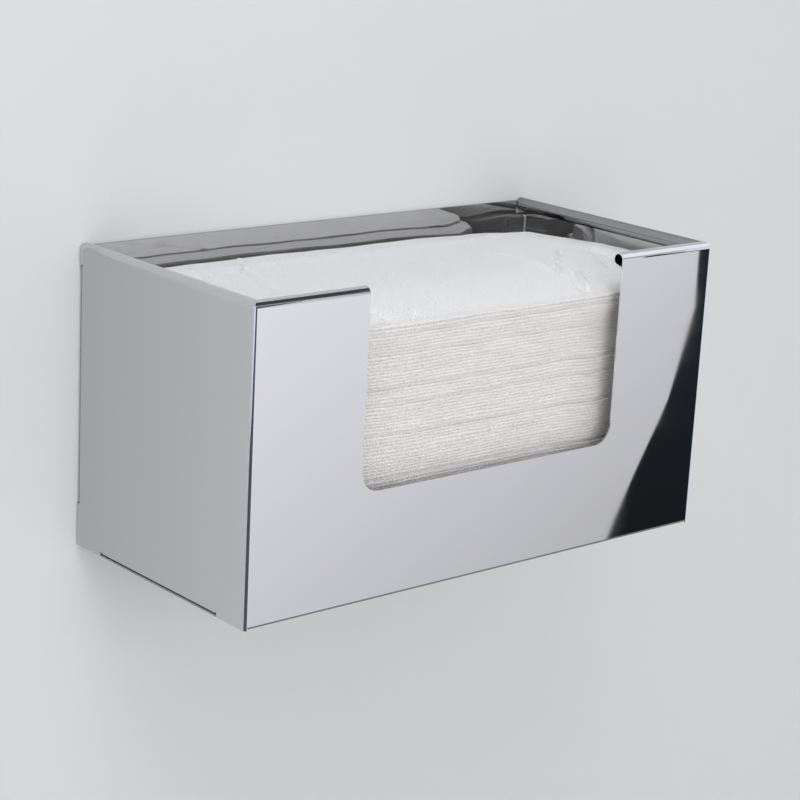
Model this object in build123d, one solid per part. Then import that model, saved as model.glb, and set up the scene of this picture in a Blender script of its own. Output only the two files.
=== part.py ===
"""Open-top wall dispenser for folded paper towels, bent from polished sheet.

The body is one blank: a front with a U-shaped notch, two sides and a bottom. Its upper
edges are rolled inwards into tear-shaped hems. A separate back plate closes it, and four
screws through that plate hold it to the wall. A refill of folded towels stands inside.

Millimetres. X runs along the front, +Y goes into the wall, +Z is up. The origin is on the
back face, at the middle of the four screws.
"""
from build123d import *
import math
import os

# Body sheet
body_width = 275.0
body_depth = 132.0
body_height = 143.0
sheet = 0.8
bend_inner = 0.8
relief = 0.6              # width of the slot where a bend ends
fit_gap = 0.2             # sheet edge beside a wall

# Rolled hem
hem_inner = 2.5
hem_wrap = 255.0          # degrees of curl before the straight tail
hem_tail_gap = 0.05

# Notch in the front
notch_width = 153.0
notch_floor = 51.0        # from the underside to the notch's lower edge
notch_radius = 9.5

# Flanges of the sides
rear_flange = 14.0
rear_flange_top = 9.6     # plain height above it
rear_flange_foot = 20.5   # plain height below it
bottom_flange = 7.5
bottom_flange_end = 20.5  # plain depth before and behind it

# Back plate
plate_drop = 1.0          # top edge below the rim
plate_inset = 1.0         # each end inside the body's side
plate_foot = 9.0
plate_corner_gap = 1.4    # under the hem's roll, where each upper corner is cut out
hem_clearance = 0.3

# Wall screws
screw_spacing_x = 200.0
screw_spacing_z = 90.0
hole_radius = 2.5
shank_radius = 2.2
thread_radius = 2.0
thread_length = 22.0
tip_length = 4.0
head_radius = 4.2
head_height = 2.6
head_round = 1.4
recess_width = 0.9
recess_length = 4.6
recess_depth = 1.5

# Towel refill
stack_front_gap = 0.5     # behind the hem, so that the refill lifts out
stack_rear_gap = 9.9      # from the wall
stack_length = 250.0
stack_end_gap = 8.0       # from the body's right end, against which it was pushed
towel_front = 1.536       # a folded towel's thickness at its fold
towel_back = 1.61         # and at its loose edges
head_room = 16.0          # least height from the refill to the rim
top_towel_edge = 1.6
top_towel_crown = 4.0     # how far the top towel bulges above its own edge

half_width = body_width / 2
rim_z = body_height / 2
floor_z = -body_height / 2
bend_outer = bend_inner + sheet
hem_outer = hem_inner + sheet
inner_floor_z = floor_z + sheet
past = 5.0                # how far a cutter runs past what it cuts


def block(x, y, z):
    """A box from three (low, high) pairs."""
    return Pos(sum(x) / 2, sum(y) / 2, sum(z) / 2) * Box(x[1] - x[0], y[1] - y[0], z[1] - z[0])


def both_sides(shape):
    """The shape and its mirror image across the middle."""
    return shape + mirror(shape, about=Plane.YZ)


def hem_section():
    """The rolled edge: u runs inwards from the outer face, v is the height from the rim."""
    centre = (hem_outer, -hem_outer)
    first = 180.0 - hem_wrap
    along = Vector(math.sin(math.radians(first)), -math.cos(math.radians(first)))
    outer = CenterArc(centre, hem_outer, first, hem_wrap)
    inner = CenterArc(centre, hem_inner, first, hem_wrap)
    tail = (inner @ 0 - Vector(sheet + hem_tail_gap, 0)).X / -along.X
    outer_tip = outer @ 0 + along * tail
    inner_tip = inner @ 0 + along * tail
    return make_face([
        outer,
        Line(outer @ 1, inner @ 1),
        inner,
        Line(inner @ 0, inner_tip),
        Line(inner_tip, outer_tip),
        Line(outer_tip, outer @ 0),
    ])


def bend(x_dir, z_dir, corner, length):
    """A quarter ring whose outer faces would meet at corner; x_dir points along one sheet."""
    centre = (bend_outer, bend_outer)
    outer = CenterArc(centre, bend_outer, 180, 90)
    inner = CenterArc(centre, bend_inner, 180, 90)
    ring = make_face([outer, Line(outer @ 1, inner @ 1), inner, Line(inner @ 0, outer @ 0)])
    return extrude(Plane(corner, x_dir=x_dir, z_dir=z_dir) * ring, length)


def walls():
    """Front and both sides with their two upright bends, from the floor to the hem."""
    front_y = -body_depth
    outer = Rectangle(body_width, body_depth, align=(Align.CENTER, Align.MIN))
    inner = Rectangle(body_width - 2 * sheet, body_depth, align=(Align.CENTER, Align.MIN))
    outer = fillet(outer.vertices().sort_by(Axis.Y)[:2], bend_outer)
    inner = fillet(inner.vertices().sort_by(Axis.Y)[:2], bend_inner)
    plan = Pos(0, front_y, floor_z) * outer - Pos(0, front_y + sheet, floor_z) * inner
    return extrude(plan, body_height - hem_outer)


def hems():
    """The rolled upper edges, mitred at the front corners."""
    section = hem_section()
    front = extrude(
        Plane((-half_width, -body_depth, rim_z), x_dir=(0, 1, 0), z_dir=(1, 0, 0)) * section,
        body_width,
    )
    side = extrude(
        Plane((-half_width, 0, rim_z), x_dir=(1, 0, 0), z_dir=(0, -1, 0)) * section,
        body_depth,
    )
    reach = 3 * hem_outer
    low = rim_z - reach
    corner = Vector(-half_width, -body_depth, low)
    front_plan = Polyline(
        corner, (-half_width + reach, -body_depth + reach, low),
        (half_width - reach, -body_depth + reach, low), (half_width, -body_depth, low), corner,
    )
    side_plan = Polyline(
        corner, (-half_width + reach, -body_depth + reach, low),
        (-half_width + reach, 0, low), (-half_width, 0, low), corner,
    )
    rounded = Rectangle(body_width, body_depth, align=(Align.CENTER, Align.MIN))
    rounded = fillet(rounded.vertices().sort_by(Axis.Y)[:2], bend_outer)
    keep = extrude(Pos(0, -body_depth, low) * rounded, 2 * reach)
    front = front & extrude(make_face(front_plan), 2 * reach)
    side = side & extrude(make_face(side_plan), 2 * reach)
    return (front + both_sides(side)) & keep


def bottom():
    """The bottom panel with the bend that carries it from the front."""
    bend_end = half_width - bend_outer - relief / 2
    back_of_bend = -body_depth + bend_outer
    between_walls = half_width - sheet - fit_gap
    under_flange = half_width - fit_gap
    thickness = (floor_z, inner_floor_z)
    panel = block((-between_walls, between_walls), (back_of_bend, 0), thickness)
    panel += block(
        (-under_flange, under_flange),
        (-body_depth + bottom_flange_end + relief, -bottom_flange_end - relief),
        thickness,
    )
    lip = bend((0, 1, 0), (1, 0, 0), (-bend_end, -body_depth, floor_z), 2 * bend_end)
    return panel + lip


def bottom_bend_space():
    """What the plain front wall gives up to the bend at its foot."""
    bend_end = half_width - bend_outer
    return block(
        (-bend_end, bend_end),
        (-body_depth - past, -body_depth + bend_outer),
        (floor_z - past, floor_z + bend_outer),
    )


def side_flanges():
    """The flange along the foot of each side, and the one along its rear edge."""
    foot_y = (-body_depth + bottom_flange_end + relief, -bottom_flange_end - relief)
    foot = block(
        (half_width - bottom_flange, half_width - bend_outer),
        foot_y,
        (inner_floor_z, inner_floor_z + sheet),
    )
    foot += bend((-1, 0, 0), (0, 1, 0), (half_width, foot_y[0], inner_floor_z), foot_y[1] - foot_y[0])
    rear_z = (floor_z + rear_flange_foot + relief, rim_z - rear_flange_top - relief)
    rear = block(
        (half_width - rear_flange, half_width - bend_outer),
        (-2 * sheet, -sheet),
        rear_z,
    )
    rear += bend((-1, 0, 0), (0, 0, 1), (half_width, -sheet, rear_z[0]), rear_z[1] - rear_z[0])
    return both_sides(foot + rear)


def flange_space():
    """What each plain side wall gives up to its flanges and their end slots."""
    x = (half_width - sheet - past, half_width + past)
    foot = block(
        x,
        (-body_depth + bottom_flange_end, -bottom_flange_end),
        (floor_z - past, inner_floor_z + bend_outer),
    )
    rear = block(
        x,
        (-sheet - bend_outer, past),
        (floor_z + rear_flange_foot, rim_z - rear_flange_top),
    )
    return both_sides(foot + rear)


def notch_space():
    """The U-shaped opening in the front, open at the top."""
    height = body_height - notch_floor + past
    outline = Rectangle(notch_width, height, align=(Align.CENTER, Align.MIN))
    outline = fillet(outline.vertices().sort_by(Axis.Y)[:2], notch_radius)
    plane = Plane((0, -body_depth - past, floor_z + notch_floor), x_dir=(1, 0, 0), z_dir=(0, -1, 0))
    return extrude(plane * outline, -(past + 3 * hem_outer))


def shell():
    """The bent body: walls, hems, bottom and welded flanges."""
    plain = walls() - bottom_bend_space() - flange_space()
    return plain + bottom() + side_flanges() + (hems() - notch_space()) - notch_space()


def screw_places():
    return GridLocations(screw_spacing_x, screw_spacing_z, 2, 2)


def back_plate():
    """The plate against the wall, with a foot that stands on the bottom panel."""
    half = half_width - plate_inset
    between_hems = half_width - 2 * hem_outer - hem_clearance
    corner_z = rim_z - 2 * hem_outer - plate_corner_gap
    foot_z = inner_floor_z
    main = block((-half, half), (-sheet, 0), (foot_z + bend_outer, corner_z))
    tab = block((-between_hems, between_hems), (-sheet, 0), (corner_z, rim_z - plate_drop))
    foot = block((-half, half), (-plate_foot, -bend_outer), (foot_z, foot_z + sheet))
    curve = bend((0, -1, 0), (-1, 0, 0), (half, 0, foot_z), 2 * half)
    on_wall = Plane((0, 0, 0), x_dir=(1, 0, 0), z_dir=(0, -1, 0))
    plate = main + tab + foot + curve
    for place in screw_places():
        plate -= extrude(on_wall * place * Circle(hole_radius), past, both=True)
    return plate


def wall_screw():
    """A pan-head screw along +Z, its head's underside at the origin."""
    head = Pos(0, 0, -head_height / 2) * Cylinder(head_radius, head_height)
    head = fillet(head.edges().filter_by(GeomType.CIRCLE).sort_by(Axis.Z)[0], head_round)
    arm = Box(recess_length, recess_width, 2 * recess_depth)
    cross = Pos(0, 0, -head_height) * (arm + Rot(0, 0, 90) * arm)
    shank_end = sheet + fit_gap
    shank = Pos(0, 0, shank_end / 2) * Cylinder(shank_radius, shank_end)
    thread = Pos(0, 0, shank_end + thread_length / 2) * Cylinder(thread_radius, thread_length)
    tip = Pos(0, 0, shank_end + thread_length + tip_length / 2) * Cone(thread_radius, 0.3, tip_length)
    return head - cross + shank + thread + tip


def wall_screws():
    """The four screws, seated on the back plate's inner face."""
    seats = Plane((0, -sheet, 0), x_dir=(1, 0, 0), z_dir=(0, 1, 0))
    screw = wall_screw()
    return Compound([seats * place * screw for place in screw_places()])


stack_front_y = -body_depth + 2 * hem_outer + stack_front_gap
stack_back_y = -stack_rear_gap
stack_right = half_width - stack_end_gap
stack_left = stack_right - stack_length
towel_pairs = int((body_height - sheet - head_room) / (2 * max(towel_front, towel_back)))


def towel(number):
    """A folded towel: a full round at its fold in front, loose edges behind."""
    front_low = inner_floor_z + number * towel_front
    back_low = inner_floor_z + number * towel_back
    radius = towel_front / 2
    nose_y = stack_front_y + radius
    low = Line((stack_back_y, back_low), (nose_y, front_low))
    edge = Line((stack_back_y, back_low), (stack_back_y, back_low + towel_back))
    high = Line((stack_back_y, back_low + towel_back), (nose_y, front_low + towel_front))
    nose = ThreePointArc(low @ 1, (stack_front_y, front_low + radius), high @ 1)
    section = make_face([low, edge, high, nose])
    plane = Plane((stack_left, 0, 0), x_dir=(0, 1, 0), z_dir=(1, 0, 0))
    return extrude(plane * section, stack_length)


def towel_pair(number):
    """Two towels that lie on each other, as one node of the refill."""
    return Compound([towel(2 * number), towel(2 * number + 1)])


def top_towel():
    """The uppermost towel, level with the others in front and bulging behind."""
    count = 2 * towel_pairs
    front_z = inner_floor_z + count * towel_front
    back_z = inner_floor_z + count * towel_back
    nose_y = stack_front_y + towel_front / 2

    def cross_section(y, z, crown):
        low = Line((stack_left, y, z), (stack_right, y, z))
        right = Line(low @ 1, low @ 1 + Vector(0, 0, top_towel_edge))
        left = Line(low @ 0, low @ 0 + Vector(0, 0, top_towel_edge))
        middle = stack_left + stack_length / 2
        high = ThreePointArc(right @ 1, (middle, y, z + top_towel_edge + crown), left @ 1)
        return Face(Wire([low, right, high, left]))

    slight = 0.2
    return loft([
        cross_section(nose_y, front_z, slight),
        cross_section(stack_back_y, back_z, top_towel_crown),
    ])


def main():
    os.makedirs("parts", exist_ok=True)
    nodes = {
        "shell": shell(),
        "back_plate": back_plate(),
        "wall_screws": wall_screws(),
        "top_towel": top_towel(),
    }
    for number in range(towel_pairs):
        nodes[f"towel_pair_{number + 1:02d}"] = towel_pair(number)
    for name, shape in nodes.items():
        export_step(shape, f"parts/{name}.step")
    print(len(nodes), "nodes,", 2 * towel_pairs + 1, "towels")


main()
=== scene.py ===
# %% [markdown]
# A wall dispenser for folded paper towels, in mirror-polished sheet steel
#
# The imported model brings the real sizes: the bent body, the back plate, four screws and the
# refill. This lesson gives each of them its finish, and makes the paper, which no solid block
# can stand for. Everything is in metres, X along the front, +Y into the wall and +Z up.

# %% Load the frame and note its box
import math

import bmesh
import bpy
from mathutils import Matrix, Vector, noise


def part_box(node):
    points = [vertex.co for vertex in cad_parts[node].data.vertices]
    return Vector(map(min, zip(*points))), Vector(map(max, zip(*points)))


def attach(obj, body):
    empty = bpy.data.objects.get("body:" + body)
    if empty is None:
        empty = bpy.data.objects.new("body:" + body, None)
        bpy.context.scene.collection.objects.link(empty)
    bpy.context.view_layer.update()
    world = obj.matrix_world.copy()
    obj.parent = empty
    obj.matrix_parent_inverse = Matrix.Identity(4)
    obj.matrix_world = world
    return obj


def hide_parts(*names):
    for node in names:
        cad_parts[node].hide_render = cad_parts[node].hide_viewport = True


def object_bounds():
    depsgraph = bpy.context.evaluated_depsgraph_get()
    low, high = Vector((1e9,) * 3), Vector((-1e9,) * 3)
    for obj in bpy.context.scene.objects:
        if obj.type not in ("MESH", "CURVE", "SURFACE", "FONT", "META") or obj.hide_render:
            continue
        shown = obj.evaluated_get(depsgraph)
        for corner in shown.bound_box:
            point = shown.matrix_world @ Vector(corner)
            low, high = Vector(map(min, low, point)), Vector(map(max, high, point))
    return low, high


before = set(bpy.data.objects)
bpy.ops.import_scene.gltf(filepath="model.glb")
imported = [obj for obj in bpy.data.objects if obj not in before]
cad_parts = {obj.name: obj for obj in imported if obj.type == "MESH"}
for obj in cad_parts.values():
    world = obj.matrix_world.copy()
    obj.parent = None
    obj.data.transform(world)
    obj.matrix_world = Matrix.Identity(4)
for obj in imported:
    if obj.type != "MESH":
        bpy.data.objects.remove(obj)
cad_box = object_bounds()
scene = bpy.context.scene
mm = 0.001
print("box of the model in mm:", [[round(c / mm, 1) for c in corner] for corner in cad_box])

# %% [markdown]
# The camera
#
# The photograph was taken from the front left and a little above, with a long lens. Its place
# and turns were worked out from the corners of the body, so they are plain numbers here. A
# camera looks along its own -Z, which is why a level one is first tipped up by 90 degrees.

# %% Camera
camera_place = Vector((-0.6594, -0.8264, 0.2720))
camera_yaw = 40.933
camera_pitch = -15.377
camera_roll = 2.989
camera_lens = 98.65

camera_data = bpy.data.cameras.new("camera")
camera_data.lens = camera_lens
camera_data.sensor_width = 36.0
camera = bpy.data.objects.new("camera", camera_data)
camera.matrix_world = (
    Matrix.Translation(camera_place)
    @ Matrix.Rotation(math.radians(-camera_yaw), 4, "Z")
    @ Matrix.Rotation(math.radians(90 + camera_pitch), 4, "X")
    @ Matrix.Rotation(math.radians(camera_roll), 4, "Z")
)
scene.collection.objects.link(camera)
scene.camera = camera
scene.view_settings.view_transform = "Standard"
print("the camera is", round(camera_place.length, 2), "m from the middle of the plate")

# %% [markdown]
# Helpers for materials
#
# Each material is a small graph of nodes. Short helpers keep the graphs readable, so that each
# finish below reads as a list of what happens to the metal or the paper: one starts a material,
# one adds a node with its values and links, and the others are the steps that most finishes
# repeat, such as a cloudy pattern, a number spread over a new range, or a bump that can lie on
# top of another. The same graphs could be drawn in the shader editor, but not repeated by name.

# %% Start a material and add its nodes
def new_material(name, slot_colour):
    material = bpy.data.materials.new(name)
    material.use_nodes = True
    material.diffuse_color = (*slot_colour, 1)
    tree = material.node_tree
    tree.nodes.clear()
    return material, tree


def node(tree, kind, inputs=None, **settings):
    """Adds a node; inputs maps a socket's name or number to a value or to another socket."""
    made = tree.nodes.new(kind)
    for name, value in settings.items():
        setattr(made, name, value)
    for key, value in (inputs or {}).items():
        if isinstance(value, bpy.types.NodeSocket):
            tree.links.new(value, made.inputs[key])
        else:
            made.inputs[key].default_value = value
    return made


def finish_material(tree, shader):
    node(tree, "ShaderNodeOutputMaterial", {"Surface": shader})


print("materials so far:", len(bpy.data.materials))


# %% Steps that the finishes repeat
def calculate(tree, operation, *values):
    """One step of arithmetic on numbers or sockets."""
    return node(tree, "ShaderNodeMath", dict(enumerate(values)), operation=operation).outputs[0]


def spread(tree, value, low, high, to_low, to_high):
    """A number from low..high, taken smoothly to to_low..to_high."""
    inputs = {"Value": value, "From Min": low, "From Max": high, "To Min": to_low, "To Max": to_high}
    return node(tree, "ShaderNodeMapRange", inputs, interpolation_type="SMOOTHSTEP").outputs[0]


def clouds(tree, place, scale, detail, roughness=0.5, dimensions="3D"):
    """A cloudy pattern around 0.5, with about scale clouds to a metre."""
    inputs = {"Vector": place, "Scale": scale, "Detail": detail, "Roughness": roughness}
    return node(tree, "ShaderNodeTexNoise", inputs, noise_dimensions=dimensions).outputs["Fac"]


def stretched(tree, place, stretch):
    return node(tree, "ShaderNodeMapping", {"Vector": place, "Scale": stretch}).outputs[0]


def shaded(tree, colour, share):
    """A colour times a share, which may both be sockets."""
    inputs = {0: colour, "Scale": share}
    return node(tree, "ShaderNodeVectorMath", inputs, operation="SCALE").outputs[0]


def bump(tree, height, distance, below=None):
    """A bump with a distance in metres, laid on the one below it."""
    inputs = {"Height": height, "Distance": distance, "Strength": 1.0}
    if below is not None:
        inputs["Normal"] = below
    return node(tree, "ShaderNodeBump", inputs).outputs[0]


print("helpers for arithmetic, patterns, colours and bumps are ready")

# %% [markdown]
# Mirror-polished steel
#
# A polished sheet isn't a perfect mirror. It has a slow waviness left by rolling and bending,
# which bends the lines it reflects, and a fine haze of polishing marks. The waves are about a
# tenth of a millimetre high and a hand long, and the marks are over a thousand times lower.
# Both are bumps on the object's own coordinates, so they stay put when it moves.
#
# Four finishes differ a little. The outside is polished in full. The inner face is darker and
# warmer, and a small share of it scatters light. The plate is like it, and it is also bowed by
# almost a millimetre, which a bump can show as well as a bent mesh. The roll along the right
# side is hazier, and it is painted darker with dimmed grazing light: painted shade on that roll.

# %% Mirror steel
half_height = (cad_box[1][2] - cad_box[0][2]) / 2
wave_scale, wave_height = 9.0, 0.16 * mm
haze_scale = 24.0
mark_stretch, mark_height = (40.0, 40.0, 2600.0), 0.0001 * mm


def mirror_steel(name, tint=(0.615, 0.62, 0.635), bow=0.0, dull=0.0, edge=1.0, clear=1.0):
    """Polished sheet: dull adds haze, edge dims grazing light, clear is how much is mirror."""
    material, tree = new_material(name, tint)
    place = node(tree, "ShaderNodeTexCoord").outputs["Object"]
    up = node(tree, "ShaderNodeSeparateXYZ", {"Vector": place}).outputs["Z"]
    sunk = calculate(tree, "MULTIPLY", calculate(tree, "MULTIPLY", up, up), -bow / half_height ** 2)
    bowed = bump(tree, sunk, 1.0)
    waves = clouds(tree, place, wave_scale, 1.0, 0.35)
    slow = bump(tree, waves, wave_height, below=bowed)
    marks = clouds(tree, stretched(tree, place, mark_stretch), 1.0, 2.0)
    fine = bump(tree, marks, mark_height, below=slow)
    haze = clouds(tree, place, haze_scale, 3.0, 0.55)
    metal = node(
        tree, "ShaderNodeBsdfPrincipled",
        {
            "Base Color": (*tint, 1), "Metallic": clear, "Normal": fine,
            "Roughness": spread(tree, haze, 0.3, 0.7, 0.012 + dull, 0.03 + 1.5 * dull),
            "Specular Tint": (edge, edge, edge, 1),
        },
    ).outputs[0]
    finish_material(tree, metal)
    return material


inner_tint = (0.520, 0.515, 0.510)
steel = mirror_steel("polished_sheet")
inner_steel = mirror_steel("inner_face", inner_tint, clear=0.93)
plate_steel = mirror_steel("plate_face", inner_tint, bow=0.95 * mm, clear=0.93)
# the right roll: real haze, and a darker tint and dimmed grazing light that are painted shade
right_roll_shaded_steel = mirror_steel("right_roll_painted_shade", (0.36, 0.36, 0.365), dull=0.05, edge=0.6)
print("mirror finishes:", [made.name for made in (steel, inner_steel, plate_steel, right_roll_shaded_steel)])

# %% [markdown]
# Cut edges and screws
#
# A cut edge shows the drag lines of the cutter, fine lines across the sheet that scatter light,
# so the edge looks darker and softer than the face. The ends of the hems and the inner bends of
# the rear flanges get a rougher finish, painted lighter as a painted highlight. The screws are
# turned and plated, brushed round their axis by the lathe, which runs along Y. All of these are
# steel with a small bump, and differ in roughness and in the direction of their lines.

# %% Cut edges and screws
across_sheet = (5000.0, 700.0, 5000.0)
round_screw = (200.0, 3000.0, 200.0)


def worked_steel(name, tint, stretch, low_rough, high_rough, line_height):
    material, tree = new_material(name, tint)
    place = node(tree, "ShaderNodeTexCoord").outputs["Object"]
    lines = clouds(tree, stretched(tree, place, stretch), 1.0, 3.0)
    patches = clouds(tree, place, 300.0, 3.0)
    metal = node(
        tree, "ShaderNodeBsdfPrincipled",
        {
            "Base Color": shaded(tree, tint, spread(tree, patches, 0.3, 0.7, 0.85, 1.0)),
            "Metallic": 1.0,
            "Roughness": spread(tree, lines, 0.3, 0.7, low_rough, high_rough),
            "Normal": bump(tree, lines, line_height),
        },
    ).outputs[0]
    finish_material(tree, metal)
    return material


cut_steel = worked_steel("cut_edge", (0.42, 0.425, 0.435), across_sheet, 0.22, 0.4, 0.01 * mm)
# lighter than the polished steel: a painted highlight on the hem ends and the inner rear bends
painted_highlight_steel = worked_steel("painted_highlight_edge", (0.90, 0.90, 0.91), across_sheet, 0.5, 0.7, 0.01 * mm)
screw_steel = worked_steel("turned_screw", (0.60, 0.60, 0.59), round_screw, 0.2, 0.3, 0.003 * mm)

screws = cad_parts["wall_screws"]
screws.data.materials.clear()
screws.data.materials.append(screw_steel)
print("worked finishes:", [made.name for made in (cut_steel, painted_highlight_steel, screw_steel)])

# %% [markdown]
# The bent body and the back plate
#
# Both come from the model with their true bends and hems. What a model leaves out is how steel
# was worked: a cut edge is broken by a fine chamfer that catches the light, and it isn't
# polished like the face. So each node's mesh is copied and merged, its flat parts are joined
# again, its cut edges are told from its faces by their sharp borders, and every sharp edge gets
# a tenth of a millimetre of bevel. Building the body anew would only risk its sizes.

# %% Measures of the sheet
broken_edge = 0.11 * mm
sheet_thickness = 0.8 * mm
widest_cut = 0.9 * mm
middle_y = (cad_box[0][1] + cad_box[1][1]) / 2
inner_x = cad_box[1][0] - 7 * mm
inner_wall = cad_box[1][0] - sheet_thickness
hem_foot = 0.9 * half_height
outside, cut, inside, rolled, pale = range(5)
print("hems above", round(hem_foot / mm, 1), "mm, right hem from x", round(inner_x / mm, 1), "mm")


# %% Tell cut edges from faces
def angle_of(edge):
    return edge.calc_face_angle(0.0) if len(edge.link_faces) == 2 else math.pi


def is_cut(face, sharp):
    """Whether a face is a cut edge: narrow, and with sharp borders nearly all round."""
    around = sum(edge.calc_length() for edge in face.edges)
    hard = sum(edge.calc_length() for edge in face.edges if edge in sharp)
    width = 2 * face.calc_area() / around
    if width < 0.55 * sheet_thickness:
        return hard > 0.75 * around
    return width < widest_cut and hard > 0.95 * around


def in_rear_bend(face, middle):
    """Whether a face belongs to the inner bend between a side and its rear flange."""
    turned = face.normal.x * middle.x < -0.2 * inner_x and face.normal.y < -0.2
    return turned and middle.y > -4 * mm and abs(middle.x) > inner_x


def finish_of(face, sharp):
    """Which finish a face of the body has, from its place and the way it looks."""
    middle = face.calc_center_median()
    inward = Vector((-middle.x, middle_y - middle.y, 0)).normalized()
    below_hem = middle.z < hem_foot
    if is_cut(face, sharp):
        # a hem end gets the pale finish, a painted highlight
        return cut if below_hem or abs(face.normal.x) < 0.9 else pale
    if not below_hem:
        # the right roll's inner faces get its painted shade finish
        return rolled if middle.x > inner_x and face.normal.x < 0.5 else outside
    # an inner rear bend gets the pale finish, a painted highlight
    if in_rear_bend(face, middle):
        return pale
    return inside if face.normal.dot(inward) > 0 or face.normal.z > 0.5 else outside


print("finishes of the body are numbered", outside, "to", pale)


# %% Copy a node and break its edges
def merged_mesh(cad_name):
    """A node's mesh with its loose triangles merged and its flat parts joined."""
    metal = bmesh.new()
    metal.from_mesh(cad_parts[cad_name].data)
    bmesh.ops.remove_doubles(metal, verts=metal.verts[:], dist=0.002 * mm)
    bmesh.ops.dissolve_limit(
        metal, angle_limit=math.radians(0.4), verts=metal.verts[:], edges=metal.edges[:],
    )
    return metal


def break_edges(metal, sharp):
    bmesh.ops.bevel(
        metal, geom=list(sharp), offset=broken_edge, offset_type="OFFSET", segments=2,
        profile=0.5, affect="EDGES", clamp_overlap=True, material=-1,
    )
    bmesh.ops.remove_doubles(metal, verts=metal.verts[:], dist=0.001 * mm)
    for face in metal.faces:
        face.smooth = True
    for edge in metal.edges:
        edge.smooth = angle_of(edge) < math.radians(50)


def worked_copy(name, cad_name, materials):
    """A worked copy of a sheet; a finish that it has no material for is a plain cut edge."""
    metal = merged_mesh(cad_name)
    open_edges = sum(1 for edge in metal.edges if len(edge.link_faces) != 2)
    sharp = {edge for edge in metal.edges if angle_of(edge) > math.radians(40)}
    for face in metal.faces:
        finish = finish_of(face, sharp)
        face.material_index = finish if finish < len(materials) else cut
    break_edges(metal, sharp)
    mesh = bpy.data.meshes.new(name)
    metal.to_mesh(mesh)
    metal.free()
    for material in materials:
        mesh.materials.append(material)
    piece = bpy.data.objects.new(name, mesh)
    scene.collection.objects.link(piece)
    even = piece.modifiers.new("true flats", "WEIGHTED_NORMAL")
    even.keep_sharp = True
    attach(piece, "housing")
    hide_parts(cad_name)
    print(cad_name, "->", len(mesh.polygons), "faces,", len(sharp), "broken edges,", open_edges, "open")
    return piece


# %% Work the body and the plate
body_sheet = worked_copy(
    "body_sheet", "shell", (steel, cut_steel, inner_steel, right_roll_shaded_steel, painted_highlight_steel),
)
worked_copy("wall_plate", "back_plate", (plate_steel, cut_steel, plate_steel))
for finish, material in enumerate(body_sheet.data.materials):
    count = sum(face.material_index == finish for face in body_sheet.data.polygons)
    print(material.name, "on", count, "faces")

# %% [markdown]
# Paper
#
# Each towel is two thin plies of tissue held together by rows of small pressed dots. Up close
# that is a dimpled, slightly cloudy white, and from a metre away a fine speckle. The dots follow
# the sheet, so they are laid out on the sheet's own map, which is in metres along and across it.
# A picture would be the other way to do this, but a pattern of nodes stays sharp at any distance.
#
# The folds are painted creamier and a little darker than the leaves, and a little darker still
# in broken lines along the stack, where two folds press against each other: both are painted
# shade. The top towel has no neighbour above it, so it gets its own paper, without those lines
# and with deeper dots.

# %% Dots and shades of the paper
dot_pitch, dot_unevenness = 0.85 * mm, 0.28
# the cream is painted shade on the folds, and the white is the paper's own colour
white, fold_shade_cream = (0.87, 0.875, 0.885), (0.84, 0.82, 0.80)
fold_middle = 0.3 * mm
fibre_scale, crepe_scale, cloud_scale, broken_shade_scale = 2600.0, 900.0, 150.0, 45.0
fibre_height, crepe_height, cloud_height = 0.05 * mm, 0.4 * mm, 0.2 * mm


def pressed_dots(tree, flat):
    """0 in the middle of a dot and 1 beside it."""
    dots = node(
        tree, "ShaderNodeTexVoronoi",
        {"Vector": flat, "Scale": 1 / dot_pitch, "Randomness": dot_unevenness},
        voronoi_dimensions="2D",
    ).outputs["Distance"]
    return spread(tree, dots, 0.10, 0.42, 0.0, 1.0)


def shade_in_gaps(tree, flat, along, folded, gap_shade):
    """What the painted shade between two folds takes from the paper, in broken lines along the fold."""
    to_gap = calculate(tree, "ABSOLUTE", calculate(tree, "SUBTRACT", along, fold_middle))
    gap = calculate(tree, "MULTIPLY", spread(tree, to_gap, 0.14 * mm, 0.28 * mm, 0.0, 1.0), folded)
    broken_shade = clouds(tree, flat, broken_shade_scale, 2.0, dimensions="2D")
    return calculate(tree, "MULTIPLY", gap, spread(tree, broken_shade, 0.35, 0.65, 0.0, -gap_shade))


print("dots", round(dot_pitch / mm, 2), "mm apart")


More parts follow.
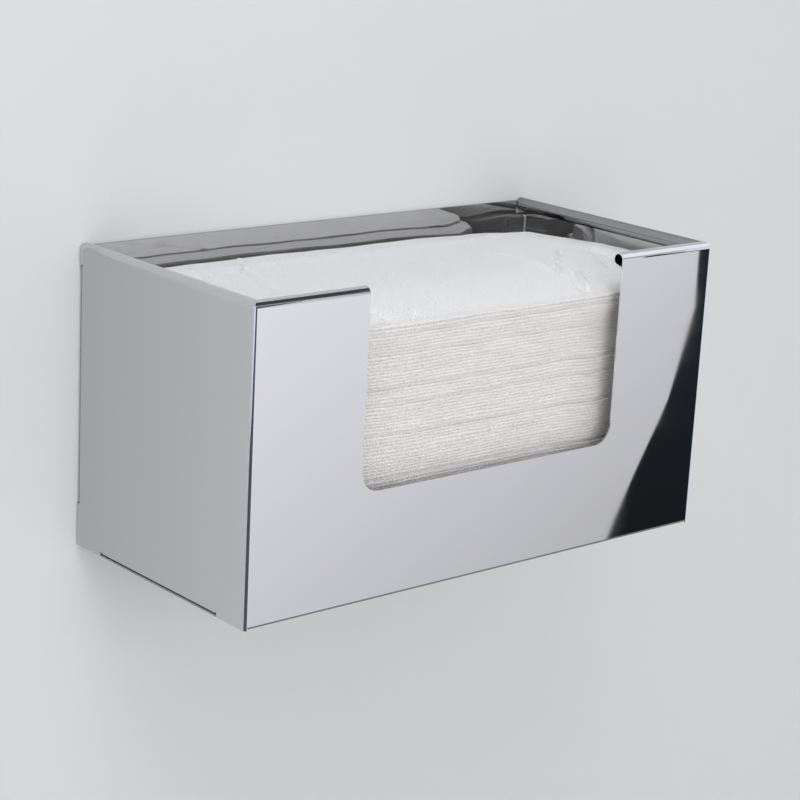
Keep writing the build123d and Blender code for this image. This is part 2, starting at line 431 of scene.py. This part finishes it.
# %% Paper
def paper(name, gap_shade, dot_depth):
    material, tree = new_material(name, white)
    flat = node(tree, "ShaderNodeUVMap", uv_map="sheet").outputs[0]
    along = node(tree, "ShaderNodeSeparateXYZ", {"Vector": flat}).outputs["Y"]
    folded = spread(tree, calculate(tree, "ABSOLUTE", along), 0.8 * mm, 5 * mm, 1.0, 0.0)
    dimple = pressed_dots(tree, flat)
    fibres = clouds(tree, flat, fibre_scale, 3.0, 0.65, "2D")
    crepe = clouds(tree, flat, crepe_scale, 2.0, 0.6, "2D")
    cloudy = clouds(tree, flat, cloud_scale, 4.0, 0.6, "2D")
    pressed = bump(tree, dimple, dot_depth)
    grained = bump(tree, fibres, fibre_height, below=pressed)
    creped = bump(tree, crepe, crepe_height, below=grained)
    clouded = bump(tree, cloudy, cloud_height, below=creped)
    # the dots and the crepe are painted a little darker where they are low: painted shade in their
    # hollows
    shade = calculate(
        tree, "MULTIPLY", spread(tree, crepe, 0.3, 0.7, 0.955, 1.0),
        spread(tree, dimple, 0.0, 1.0, 0.93, 1.0),
    )
    in_shade = shade_in_gaps(tree, flat, along, folded, gap_shade)
    shade = calculate(tree, "MULTIPLY_ADD", shade, in_shade, shade)
    # the folds are mixed toward cream: painted shade on the front of the refill
    fold_shade_tint = node(
        tree, "ShaderNodeMix", {"Factor": folded, 6: (*white, 1), 7: (*fold_shade_cream, 1)}, data_type="RGBA",
    ).outputs[2]
    sheet = node(
        tree, "ShaderNodeBsdfPrincipled",
        {
            "Base Color": shaded(tree, fold_shade_tint, shade), "Roughness": 0.95,
            "Specular IOR Level": 0.25, "Normal": clouded,
        },
    ).outputs[0]
    finish_material(tree, sheet)
    return material


stack_tissue = paper("stack_tissue", 0.2, 0.22 * mm)
top_tissue = paper("top_tissue", 0.0, 0.32 * mm)
print("papers:", stack_tissue.name, "and", top_tissue.name)

# %% [markdown]
# How the refill lies
#
# A new refill is a tight block, but not a ruled one. Its folds are pressed flat against each
# other in front, and the loose edges behind take more room. Its uppermost towels have sprung up
# in the middle. So the heights between the towels come from one function of level and place, and
# every towel is laid between two of those heights. Neighbours then follow each other and never
# cross, which separate random bumps on each towel would not give.

# %% Measures of the refill
pairs = sum("towel_pair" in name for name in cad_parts)
floor_low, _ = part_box("towel_pair_01")
_, last_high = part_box(f"towel_pair_{pairs:02d}")
top_low, top_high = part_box("top_towel")
towel_count = 2 * pairs + 1

left_x, front_y, refill_floor = floor_low
right_x, rear_y = top_high[0], top_high[1]
depth = rear_y - front_y
front_pitch = (top_low[2] - refill_floor) / (2 * pairs)
rear_pitch = (last_high[2] - refill_floor) / (2 * pairs)
front_rim = refill_floor + towel_count * front_pitch
plateau = 59.1 * mm
loose_towels = 18
print("folds are", round(front_pitch / mm, 3), "mm apart and loose edges", round(rear_pitch / mm, 3))


# %% Slopes and levels
def smooth_step(value, low, high):
    share = min(1.0, max(0.0, (value - low) / (high - low)))
    return share * share * (3 - 2 * share)


def flat_height(level, y):
    behind = (y - front_y) / depth
    return refill_floor + level * (front_pitch + (rear_pitch - front_pitch) * behind)


def along_depth(y, places):
    """A value that changes along the depth, from places of (y, value) in mm."""
    for (y0, x0), (y1, x1) in zip(places, places[1:]):
        if y < y1 * mm:
            return (x0 + (x1 - x0) * min(1.0, max(0.0, (y / mm - y0) / (y1 - y0)))) * mm
    return places[-1][1] * mm


print("a level refill would reach", round(flat_height(towel_count, front_y) / mm, 1), "mm in front")


# %% The dome of the uppermost towels
# from the front to the rear: y and the place of the crest in x, both in mm
crest_places = [(-80, 131), (-66, 130), (-51, 124), (-39, 121), (-31, 118), (-17, 112), (-4, 104)]


def crest(y):
    """The line beyond which the uppermost towels turn down to the body's right wall."""
    return along_depth(y, crest_places)


def top_height(x, y):
    """The upper surface of the refill: a dome that falls to the folds and to its rear corner."""
    forward = min(1.0, max(0.0, (y - front_y) / (45 * mm)))
    dome = front_rim + (plateau - front_rim) * (1 - (1 - forward) ** 2.2)
    to_right = max(0.0, (x - 35 * mm) / (88 * mm)) ** 1.6
    from_rear = max(0.0, rear_y - 2.6 * mm - y) / (12 * mm)
    corner = 3.4 * mm * to_right * math.exp(-(from_rear ** 1.2))
    left_drop = 0.3 * mm * smooth_step(-x, 90 * mm, -left_x)
    right_drop = 0.8 * mm * smooth_step(x, 95 * mm, right_x)
    loose_rise = 1.5 * mm * smooth_step(y, rear_y - 28 * mm, rear_y - 12 * mm)
    behind = 0.34 * max(0.0, y - (rear_y - 2 * mm))
    beside = 0.55 * max(0.0, x - crest(y))
    return dome + loose_rise - corner - (left_drop + right_drop) - behind - beside


print("the dome rises", round((top_height(0, -60 * mm) - front_rim) / mm, 1), "mm above the front folds")


# %% Heights between the towels
def sag(level, x, y):
    """The refill has sunk a little at the right of its front, as one that was leant on."""
    amount = 2.3 * mm * smooth_step(x, 48 * mm, 78 * mm) * smooth_step(-y, 60 * mm, 115 * mm)
    return amount * smooth_step(level, 2, 40) * (1 - 0.85 * smooth_step(level, 62, towel_count))


def wander(level, x, y):
    """Slow waves, shared by neighbouring towels, none at the floor and fading in above it."""
    waves = noise.noise(Vector((x / 0.046, y / 0.07, level * 0.19)))
    ripples = noise.noise(Vector((x / 0.017, y / 0.05, level * 0.33 + 40)))
    quick = noise.noise(Vector((x / 0.008, y / 0.03, level * 0.7 + 90)))
    uneven = noise.noise(Vector((0.3, 0.7, level * 1.37)))
    room = smooth_step(level, 0, 10)
    return (0.6 * waves + 0.3 * ripples + 0.07 * quick + 0.28 * uneven) * mm * room


def height(level, x, y):
    spring = max(0.0, 1 - (towel_count - level) / loose_towels) ** 1.4
    raised = spring * (top_height(x, y) - flat_height(towel_count, y))
    return flat_height(level, y) + raised - sag(level, x, y) + wander(level, x, y)


print("top of the dome", [round(height(towel_count, x * mm, -0.06) / mm, 1) for x in (-100, 0, 100)])

# %% [markdown]
# A folded towel
#
# A towel is one sheet, folded once: a lower leaf, a fold in front and an upper leaf, with both
# loose edges behind. It could be a flat slab, but the fold and the two leaves are what the eye
# reads as paper. So its section is drawn with vertices: one is extruded along the lower leaf,
# spun round the fold and extruded back. The half circle is then pressed flat, and the line is
# extruded sideways and cut into a grid.

# %% Fold a sheet
leaf_thickness = 0.58 * mm
fold_depth = 0.06 * mm


def folded_line(sheet, along_low, along_high, fold_steps):
    """Draws the section of a towel at its left end, one unit high, and divides its leaves."""
    fold_y = front_y + fold_depth
    start = sheet.verts.new((left_x, rear_y, 0))
    low_end = bmesh.ops.extrude_vert_indiv(sheet, verts=[start])["verts"][0]
    low_end.co = (left_x, fold_y, 0)
    low_leaf = sheet.edges[:]
    spun = bmesh.ops.spin(
        sheet, geom=[low_end], cent=(left_x, fold_y, 0.5), axis=(1, 0, 0),
        angle=-math.pi, steps=fold_steps,
    )
    high_start = [made for made in spun["geom_last"] if isinstance(made, bmesh.types.BMVert)][0]
    high_end = bmesh.ops.extrude_vert_indiv(sheet, verts=[high_start])
    high_end["verts"][0].co = (left_x, rear_y, 1)
    for point in sheet.verts:
        if point.co.y < fold_y - 0.001 * mm:
            point.co.y = fold_y - (fold_y - point.co.y) * fold_depth / 0.5
    bmesh.ops.subdivide_edges(sheet, edges=low_leaf, cuts=along_low - 1)
    bmesh.ops.subdivide_edges(sheet, edges=high_end["edges"], cuts=along_high - 1)


def folded_sheet(across, along_low, along_high, fold_steps):
    """A level folded sheet of unit thickness in z, from left to right and front to rear."""
    sheet = bmesh.new()
    folded_line(sheet, along_low, along_high, fold_steps)
    swept = bmesh.ops.extrude_edge_only(sheet, edges=sheet.edges[:])
    moved = [made for made in swept["geom"] if isinstance(made, bmesh.types.BMVert)]
    bmesh.ops.translate(sheet, verts=moved, vec=(right_x - left_x, 0, 0))
    sideways = [edge for edge in sheet.edges if abs(edge.verts[0].co.x - edge.verts[1].co.x) > 1 * mm]
    bmesh.ops.subdivide_edges(sheet, edges=sideways, cuts=across - 1, use_grid_fill=True)
    highest = max(sheet.faces, key=lambda face: face.calc_center_median().z)
    highest.normal_update()
    if highest.normal.z < 0:
        bmesh.ops.reverse_faces(sheet, faces=sheet.faces[:])
    return sheet


trial = folded_sheet(4, 3, 3, 6)
print("a coarse folded sheet has", len(trial.verts), "points and", len(trial.faces), "faces")
trial.free()


# %% Map a sheet
def map_sheet(sheet, number):
    """Gives the sheet its own map: across it and along it, in metres from the fold."""
    shift = 0.3 * noise.noise(Vector((number * 2.3, 0.5, 71.0)))
    layer = sheet.loops.layers.uv.new("sheet")
    for face in sheet.faces:
        upper = face.calc_center_median().z > 0.5
        for loop in face.loops:
            away = loop.vert.co.y - front_y
            along = (away if upper else -away) + 2 * fold_middle * loop.vert.co.z
            loop[layer].uv = (loop.vert.co.x + shift, along)


print("the fold is", round(2 * fold_middle / mm, 1), "mm long on the map")

# %% [markdown]
# Lay the towels
#
# Each towel is pressed between two heights of the refill. Its fold stands a little forward or
# back, its leaves end unevenly behind, and its ends are not quite in line, because a stack is
# never cut perfectly. The folds also curve back at both ends and at the foot, where they fall
# into shade. Two towels make one piece, as in the model, and a Solidify modifier gives the
# leaves their thickness inwards, so that the outside of a towel stays at its two heights.

# %% Where folds and loose edges stand
# some towels by number, and how many mm further back each one's fold stands
recessed_folds = {
    4: 0.5, 9: 0.4, 17: 0.5, 26: 0.3, 33: 0.45, 46: 0.5, 55: 0.35, 60: 0.45, 70: 0.3, 76: 0.3,
}
# from the front to the rear: y and the place of the right end in x, both in mm
right_end_places = [(-54, 136.6), (-46, 133), (-39, 127), (-31, 121), (-17, 114), (-4, 106)]


def fold_place(number, x):
    """How far a towel's fold stands behind the front of the refill, in metres."""
    slow = noise.noise(Vector((x / 0.06, number * 0.2, 3.1)))
    quick = noise.noise(Vector((x / 0.02, number * 1.7, 9.4)))
    fine = noise.noise(Vector((x / 0.006, number * 2.9, 5.2)))
    sides = 2.8 * smooth_step(-x, 42 * mm, 84 * mm) + 3.4 * smooth_step(x, 48 * mm, 84 * mm)
    foot = 4.0 * (1 - smooth_step(number, 0, 24))
    pushed_in = 0.5 + math.hypot(sides, foot)
    top = smooth_step(number, towel_count - 12, towel_count - 2)
    low = 1 - smooth_step(number, 3, 14)
    uneven = 0.30 * slow + (0.05 + 0.3 * low) * quick + 0.03 * fine
    return (recessed_folds.get(number, 0.0) + uneven + pushed_in * (1 - 0.7 * top)) * mm


def loose_place(number, upper, x):
    """How far a leaf ends in front of the refill's rear, in metres."""
    leaf = 2 * number + (1 if upper else 0)
    uneven = noise.noise(Vector((x / 0.05, leaf * 1.3, 21.0)))
    frayed = noise.noise(Vector((x / 0.012, leaf * 2.1, 27.0)))
    loose = smooth_step(number, towel_count - 14, towel_count - 4)
    between_corners = 1 - smooth_step(abs(x + 3 * mm), 96 * mm, 112 * mm)
    last_leaf = 10.0 if leaf == 2 * towel_count - 1 else 0.0
    return (0.7 + 0.8 * uneven + 0.2 * frayed - 5.6 * loose * between_corners + last_leaf) * mm


def right_end(y):
    """Where the uppermost towels end: at the wall in front, with a bent corner behind."""
    return along_depth(y, right_end_places)


print("the middle fold stands", round(fold_place(towel_count // 2, 0) / mm, 2), "mm back")


# %% Press a sheet into its place
def lay(sheet, number, relief=None):
    """Moves a level sheet to its place as towel number of the refill, counted from 0."""
    slide = 0.6 * mm * noise.noise(Vector((number * 1.9, 0.5, 33.0)))
    top_number = towel_count - 1
    loose = smooth_step(number, top_number - 10, top_number - 2)
    for point in sheet.verts:
        share, behind = point.co.z, (point.co.y - front_y) / depth
        end = 1 - 0.004 * (1 + noise.noise(Vector((point.co.y / 0.04, number * 1.3, point.co.x * 9))))
        splayed = smooth_step(point.co.x, 50 * mm, right_x) * loose
        x = point.co.x * end + slide + (right_end(point.co.y) - right_x) * splayed
        x = min(x, inner_wall - 0.25 * mm)
        lean = fold_place(number, x) * (1 - behind) ** 6
        y = point.co.y + lean - loose_place(number, share > 0.5, x) * max(0.0, behind) ** 3
        low, high = height(number, x, y), height(number + 1, x, y)
        if relief is not None and share > 0.5:
            high += relief(x, y)
            high -= 0.5 * (high - low) * smooth_step(y, rear_y - 20 * mm, rear_y - 10 * mm)
        point.co = (x, y, low + (high - low) * share)


trial = folded_sheet(4, 3, 3, 6)
lay(trial, 0)
print("the lowest fold lies at", round(min(point.co.z for point in trial.verts) / mm, 1), "mm")
trial.free()


# %% Make a piece from laid sheets
def paper_mesh(name, sheets, tissue, pressed_flat):
    """One mesh from several laid sheets, smooth but for the edges of the paper and flat folds."""
    joined = bmesh.new()
    for sheet in sheets:
        for edge in sheet.edges:
            turned = pressed_flat and edge.calc_face_angle(0.0) > math.radians(50)
            edge.smooth = not edge.is_boundary and not turned
        for face in sheet.faces:
            face.smooth = True
        passing = bpy.data.meshes.new("passing")
        sheet.to_mesh(passing)
        sheet.free()
        joined.from_mesh(passing)
        bpy.data.meshes.remove(passing)
    mesh = bpy.data.meshes.new(name)
    joined.to_mesh(mesh)
    joined.free()
    mesh.materials.append(tissue)
    return mesh


def add_paper(name, mesh, body, cad_node, loft=0.0):
    """Adds a paper piece; loft is how much thicker a loose leaf is than a pressed one."""
    piece = bpy.data.objects.new(name, mesh)
    scene.collection.objects.link(piece)
    thick = piece.modifiers.new("thickness", "SOLIDIFY")
    thick.thickness = leaf_thickness + loft
    thick.offset = -1
    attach(piece, body)
    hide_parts(cad_node)
    return piece


# %% Lay all pairs
for pair in range(1, pairs + 1):
    sheets = []
    for number in (2 * pair - 2, 2 * pair - 1):
        sheet = folded_sheet(64, 7, 7, 6)
        map_sheet(sheet, number)
        lay(sheet, number)
        sheets.append(sheet)
    name, cad_node = f"towels_{pair:02d}", f"towel_pair_{pair:02d}"
    loft = 0.17 * mm * smooth_step(pair, pairs - 8, pairs - 3)
    add_paper(name, paper_mesh(name, sheets, stack_tissue, True), "towel_stack", cad_node, loft)
print(pairs, "pairs of towels laid")

# %% [markdown]
# The top towel
#
# The towel that is taken next lies on top, and its upper leaf is what shows most. It has picked
# up creases from packing and from fingers: a thin one and a sharp ridge near the right front, a
# hollow before its raised right end, and a crinkle at the rear left. Cloth simulation makes
# random wrinkles, and these are particular ones. So each crease is a line of listed places, and
# the leaf, on a grid of about a millimetre, is raised or lowered beside that line.

# %% Creases
def crease_line(places):
    return [Vector((x * mm, y * mm)) for x, y in places]


creases = [
    # line, height and half width in mm: a ridge stands up, and a hollow has a negative height
    (crease_line([(-57, -10), (-66, -24), (-72, -35), (-70, -44)]), 2.55, 1.25),
    (crease_line([(-60, -16), (-70, -30), (-78, -38)]), -2.04, 1.35),
    (crease_line([(-72, -35), (-77, -48), (-80, -60), (-84, -76)]), 1.19, 1.98),
    (crease_line([(104.5, -62), (92, -75), (79, -86), (70, -96), (63.6, -104.5)]), -1.7, 1.25),
    (crease_line([(102, -61), (90, -73), (77, -84), (68, -94)]), 1.02, 1.44),
    (crease_line([(64, -52), (68, -72), (65, -90), (62, -103)]), 1.19, 2.7),
    (crease_line([(80.2, -97), (76, -104), (71.6, -111.4), (66.5, -121)]), 2.55, 1.35),
    (crease_line([(76.5, -97), (72.5, -104), (68, -111), (62.5, -123)]), -2.72, 1.35),
    (crease_line([(119, -68), (116.5, -76), (108.6, -93), (100, -108)]), -4.42, 3.78),
    (crease_line([(-42, -116), (-38, -118.5)]), 1.36, 1.25),
    (crease_line([(-59, -108), (-58, -124)]), -2.38, 2.7),
    (crease_line([(119, -44), (115, -52)]), 0.68, 1.26),
]
print(len(creases), "creases")


# %% How high the creases stand
def near_line(line, point):
    """How far a point is from a line of places, and how far along that line, from 0 to 1."""
    best, along, passed = 1.0, 0.0, 0.0
    total = sum((b - a).length for a, b in zip(line, line[1:]))
    for a, b in zip(line, line[1:]):
        span = b - a
        share = min(1.0, max(0.0, (point - a).dot(span) / span.length_squared))
        gap = (a + span * share - point).length
        if gap < best:
            best, along = gap, (passed + share * span.length) / total
        passed += span.length
    return best, along


def crease_relief(x, y):
    """What the creases, the raised right end and the soft swelling add to the upper leaf."""
    shifted = Vector((x, y)) + 0.5 * mm * Vector((
        noise.noise(Vector((x / 0.008, y / 0.008, 50.0))),
        noise.noise(Vector((x / 0.008, y / 0.008, 60.0))),
    ))
    relief = 0.0
    for line, tall, half_width in creases:
        gap, along = near_line(line, shifted)
        if gap < 4 * half_width * mm:
            fade = smooth_step(along, 0, 0.25) * (1 - 0.9 * smooth_step(along, 0.8, 1.0))
            ridge = math.exp(-((gap / (half_width * mm)) ** 2))
            relief += tall * mm * ridge * max(fade, 0.15)
    raised_end = 1.2 * mm * smooth_step(x + 0.55 * (y + 0.08), 0.112, 0.124)
    swelling = 0.32 * mm * noise.noise(Vector((x / 0.030, y / 0.024, 70.0)))
    swelling += 0.10 * mm * noise.noise(Vector((x / 0.009, y / 0.009, 80.0)))
    inside_fold = smooth_step(y, front_y, front_y + 9 * mm)
    return relief * (0.2 + 0.8 * inside_fold) + (raised_end + swelling) * inside_fold


print("the sharp ridge stands", round(crease_relief(76 * mm, -104 * mm) / mm, 1), "mm high")

# %% Lay the top towel
sheet = folded_sheet(264, 10, 118, 8)
map_sheet(sheet, towel_count - 1)
lay(sheet, towel_count - 1, crease_relief)
top_mesh = paper_mesh("top_towel_sheet", [sheet], top_tissue, False)
top_towel = add_paper("top_towel_sheet", top_mesh, "top_towel", "top_towel")
print("the top towel has", len(top_towel.data.polygons), "faces")

# %% [markdown]
# The studio
#
# A mirror shows its surroundings, so here the surroundings are modelled like the object. Soft
# lamps light the paper and the wall, and most of them aren't seen by the steel. What it sees is
# a set of glowing cards that only mirrors can see. The steel could have been painted to look
# this way instead, but then the reflections would not move with the camera.

# %% Cards and their glow
only_mirrors = {"camera": False, "diffuse": False, "shadow": False, "transmission": False}


def stage_card(name, outline, material, **seen):
    """A flat card from its corners; seen says which kinds of ray see it."""
    card = bmesh.new()
    card.faces.new([card.verts.new(corner) for corner in outline])
    mesh = bpy.data.meshes.new(name)
    card.to_mesh(mesh)
    card.free()
    mesh.materials.append(material)
    made = bpy.data.objects.new(name, mesh)
    scene.collection.objects.link(made)
    for ray, value in seen.items():
        setattr(made, f"visible_{ray}", value)
    return made


def glow(name, colour):
    material, tree = new_material(name, colour)
    light = node(tree, "ShaderNodeEmission", {"Color": (*colour, 1), "Strength": 1.0})
    finish_material(tree, light.outputs[0])
    return material


def sloping_glow(name, colour, origin, value, slope_x, slope_z):
    """A glow that has a value at one point and changes steadily along X and Z, per metre."""
    material, tree = new_material(name, colour)
    place = node(tree, "ShaderNodeTexCoord").outputs["Object"]
    shifted = node(
        tree, "ShaderNodeVectorMath", {0: place, 1: origin}, operation="SUBTRACT",
    ).outputs[0]
    along = node(
        tree, "ShaderNodeVectorMath", {0: shifted, 1: (slope_x, 0, slope_z)},
        operation="DOT_PRODUCT",
    ).outputs["Value"]
    strength = calculate(tree, "ADD", along, value)
    light = node(tree, "ShaderNodeEmission", {"Color": (*colour, 1), "Strength": strength})
    finish_material(tree, light.outputs[0])
    return material


def rectangle(low, high):
    (a, b), (c, d) = low, high
    return [(a, b), (c, b), (c, d), (a, d)]


def card_across(name, y, corners, material):
    """A card that mirrors see, parallel to the wall, from its corners in x and z."""
    stage_card(name, [(x, y, z) for x, z in corners], material, **only_mirrors)


def card_beside(name, x, corners, material):
    """A card that mirrors see, parallel to the sides, from its corners in y and z."""
    stage_card(name, [(x, y, z) for y, z in corners], material, **only_mirrors)


print("cards are hidden from", ", ".join(only_mirrors), "rays")

# %% [markdown]
# Cards in front
#
# The front panel is filled by a large pale card, which stands to the right in front and gets
# brighter upwards and to the left. A black one behind it shows beyond its slanted right edge,
# and that edge draws the dark wedge on the panel. The sky card above it is what the rolled hem
# in front reflects, and a dark one stands for the room behind the camera.

# %% Cards in front
front_card_y, sky_card_y, front_black_y, camera_black_y = -1.6, -1.61, -1.9, -2.0
front_outline = [
    (0.35, -0.28), (0.35, -0.93), (1.56, -0.93), (1.646, -0.79), (1.749, -0.589),
    (1.795, -0.45), (1.788, 0.2), (1.29, 0.2), (1.24, -0.28),
]
front_light = sloping_glow(
    "front_light", (1.0, 0.995, 1.03), (0.967, front_card_y, -0.349), 1.17, -0.28, 0.57,
)
sky_light = sloping_glow("sky_light", (1.0, 1.0, 1.02), (0.9, sky_card_y, 0.17), 0.83, 0.0, -0.45)
front_dark = sloping_glow("front_dark", (0.86, 1.0, 1.2), (1.8, front_black_y, 0.4), 0.05, 0.0, 0.026)
card_across("front_card", front_card_y, front_outline, front_light)
card_across("sky_card", sky_card_y, rectangle((0.35, -0.28), (1.3, 1.75)), sky_light)
card_across("front_black", front_black_y, rectangle((0.4, -1.3), (4.2, 1.9)), front_dark)
card_across(
    "camera_black", camera_black_y, rectangle((-1.3, -1.0), (0.42, 1.2)),
    glow("camera_dark", (0.13, 0.13, 0.15)),
)
print("the front card has", len(front_outline), "corners")

# %% [markdown]
# Cards beside and below
#
# The rolled hems and the inside of the box look sideways and up. On the right a black card high
# up darkens the plate, a bright one and a grey one below it shade the rolls, and a bluish one
# stands for a window. On the left a bluish card lights the vertical bend and a dark one its
# foot. One lies near the floor for the bends that look down, and one on the wall shades the
# left side towards its rear, as a real wall does where the box keeps the light from it.

# %% Cards beside and below
right_light = glow("right_light", (0.98, 1.06, 1.2))
black_cloth = glow("black_cloth", (0.075, 0.075, 0.082))
rim_light = glow("rim_light", (1.25, 1.25, 1.27))
hem_shade = glow("hem_shade", (0.62, 0.62, 0.64))
edge_light = glow("edge_light", (0.95, 1.1, 1.38))
low_left_dark = glow("low_left_dark", (0.11, 0.11, 0.13))
card_beside("right_window", 2.2, rectangle((-1.5, -0.97), (-0.1, 0.45)), right_light)
card_beside("side_black", 1.7, rectangle((-2.6, 0.5), (-0.02, 3.2)), black_cloth)
card_beside("rim_card", 0.9, rectangle((-1.0, 0.44), (-0.05, 0.95)), rim_light)
card_beside("hem_grey", 0.9, rectangle((-1.0, 0.06), (-0.05, 0.44)), hem_shade)
card_beside("edge_card", -1.2, rectangle((-1.5, -0.33), (-0.25, 0.1)), edge_light)
card_beside("low_left_black", -1.25, rectangle((-1.9, -1.0), (-0.25, -0.3)), low_left_dark)
stage_card(
    "low_black", [(x, y, -0.98) for x, y in rectangle((0.1, -1.9), (3.5, -0.02))],
    glow("low_dark", (0.27, 0.27, 0.29)), **only_mirrors,
)
shade_edge, shade_y = -0.139, 0.2 * mm
# a painted reflection of the wall's shade beside the box, seen only by mirrors and darker towards the box
wall_shade_glow = sloping_glow("wall_shade_glow", (0.965, 0.985, 1.0), (shade_edge, shade_y, 0.0), 0.57, -1.45, 0.0)
card_across("wall_shade", shade_y, rectangle((-0.27, -0.2), (shade_edge, 0.078)), wall_shade_glow)

# %% [markdown]
# Wall and floor
#
# The dispenser hangs on a wall, so the wall is part of the stage. It is painted on its front
# only: from behind it is clear, and the back plate and the screws can be looked at. It is left
# open where the plate covers it, because the plate's polished back would only mirror the dark
# gap there.

# %% Wall and floor
def paint(name, colour, clear_from_behind=False):
    material, tree = new_material(name, colour)
    shader = node(tree, "ShaderNodeBsdfDiffuse", {"Color": (*colour, 1)}).outputs[0]
    if clear_from_behind:
        clear = node(tree, "ShaderNodeBsdfTransparent").outputs[0]
        behind = node(tree, "ShaderNodeNewGeometry").outputs["Backfacing"]
        shader = node(tree, "ShaderNodeMixShader", {0: behind, 1: shader, 2: clear}).outputs[0]
    finish_material(tree, shader)
    return material


wall_gap = 0.5 * mm
wall_half, wall_high, floor_z = 8.0, 6.0, -1.0
wall_corners = rectangle((-wall_half, floor_z), (wall_half, wall_high))
wall = stage_card(
    "wall", [(x, wall_gap, z) for x, z in wall_corners],
    paint("wall_paint", (0.69, 0.695, 0.70), clear_from_behind=True),
)
floor_corners = rectangle((-wall_half, -wall_half), (wall_half, wall_half))
stage_card(
    "floor", [(x, y, floor_z) for x, y in floor_corners], paint("floor_paint", (0.80, 0.80, 0.80)),
)
print("the wall is", 2 * wall_half, "m wide and the floor lies at", floor_z, "m")

# %% Open the wall behind the plate
opening_x, opening_low, opening_high = 130 * mm, -66 * mm, 62 * mm
opened = bmesh.new()
opened.from_mesh(wall.data)
for place, across in (
    ((opening_x, 0, 0), (1, 0, 0)), ((-opening_x, 0, 0), (1, 0, 0)),
    ((0, 0, opening_low), (0, 0, 1)), ((0, 0, opening_high), (0, 0, 1)),
):
    every = opened.verts[:] + opened.edges[:] + opened.faces[:]
    bmesh.ops.bisect_plane(opened, geom=every, plane_co=place, plane_no=across)
behind_plate = min(opened.faces, key=lambda face: face.calc_center_median().length)
bmesh.ops.delete(opened, geom=[behind_plate], context="FACES")
opened.to_mesh(wall.data)
opened.free()
print("the wall has", len(wall.data.polygons), "faces round its opening")

# %% [markdown]
# Light
#
# Three broad soft lamps and a pale world: one lamp in front, one overhead, and one behind the
# wall for the floor there, which would be dark in a view from behind. Only the overhead one is
# seen by mirrors. The paper then comes out about as light as its own colour says. The world is
# brighter where the camera or a mirror sees it than where it lights the paper.

# %% Lamps
def soft_lamp(name, place, target, size, power, colour=(1, 1, 1), mirrored=False):
    data = bpy.data.lights.new(name, "AREA")
    data.shape = "SQUARE"
    data.size = size
    data.energy = power
    data.color = colour
    lamp = bpy.data.objects.new(name, data)
    aim = (Vector(target) - Vector(place)).to_track_quat("-Z", "Y").to_matrix().to_4x4()
    lamp.matrix_world = Matrix.Translation(place) @ aim
    lamp.visible_camera = False
    lamp.visible_glossy = mirrored
    scene.collection.objects.link(lamp)


soft_lamp("key_lamp", (-0.5, -2.25, 0.25), (0, 0, 0), 1.3, 17, colour=(1.0, 0.985, 0.975))
soft_lamp("top_lamp", (-0.6, -0.7, 1.7), (0, -0.06, 0), 1.2, 15, colour=(0.97, 0.975, 1.0), mirrored=True)
soft_lamp("rear_lamp", (0.4, 2.2, 1.4), (0, 0.3, -0.6), 2.0, 170)
print("lamps:", [lamp.name for lamp in bpy.data.lights])

# %% World
ambient, backdrop_value = 0.61, 0.72
world = bpy.data.worlds.new("studio")
scene.world = world
world.use_nodes = True
world_tree = world.node_tree
backdrop = world_tree.nodes["Background"]
backdrop.inputs["Color"].default_value = (0.97, 0.98, 1.0, 1)
rays = node(world_tree, "ShaderNodeLightPath").outputs
seen = calculate(world_tree, "MAXIMUM", rays["Is Camera Ray"], rays["Is Glossy Ray"])
seen = calculate(world_tree, "MAXIMUM", seen, rays["Is Transmission Ray"])
strength = spread(world_tree, seen, 0.0, 1.0, ambient, backdrop_value)
world_tree.links.new(strength, backdrop.inputs["Strength"])
print("the world lights with", ambient, "and shows as", backdrop_value)
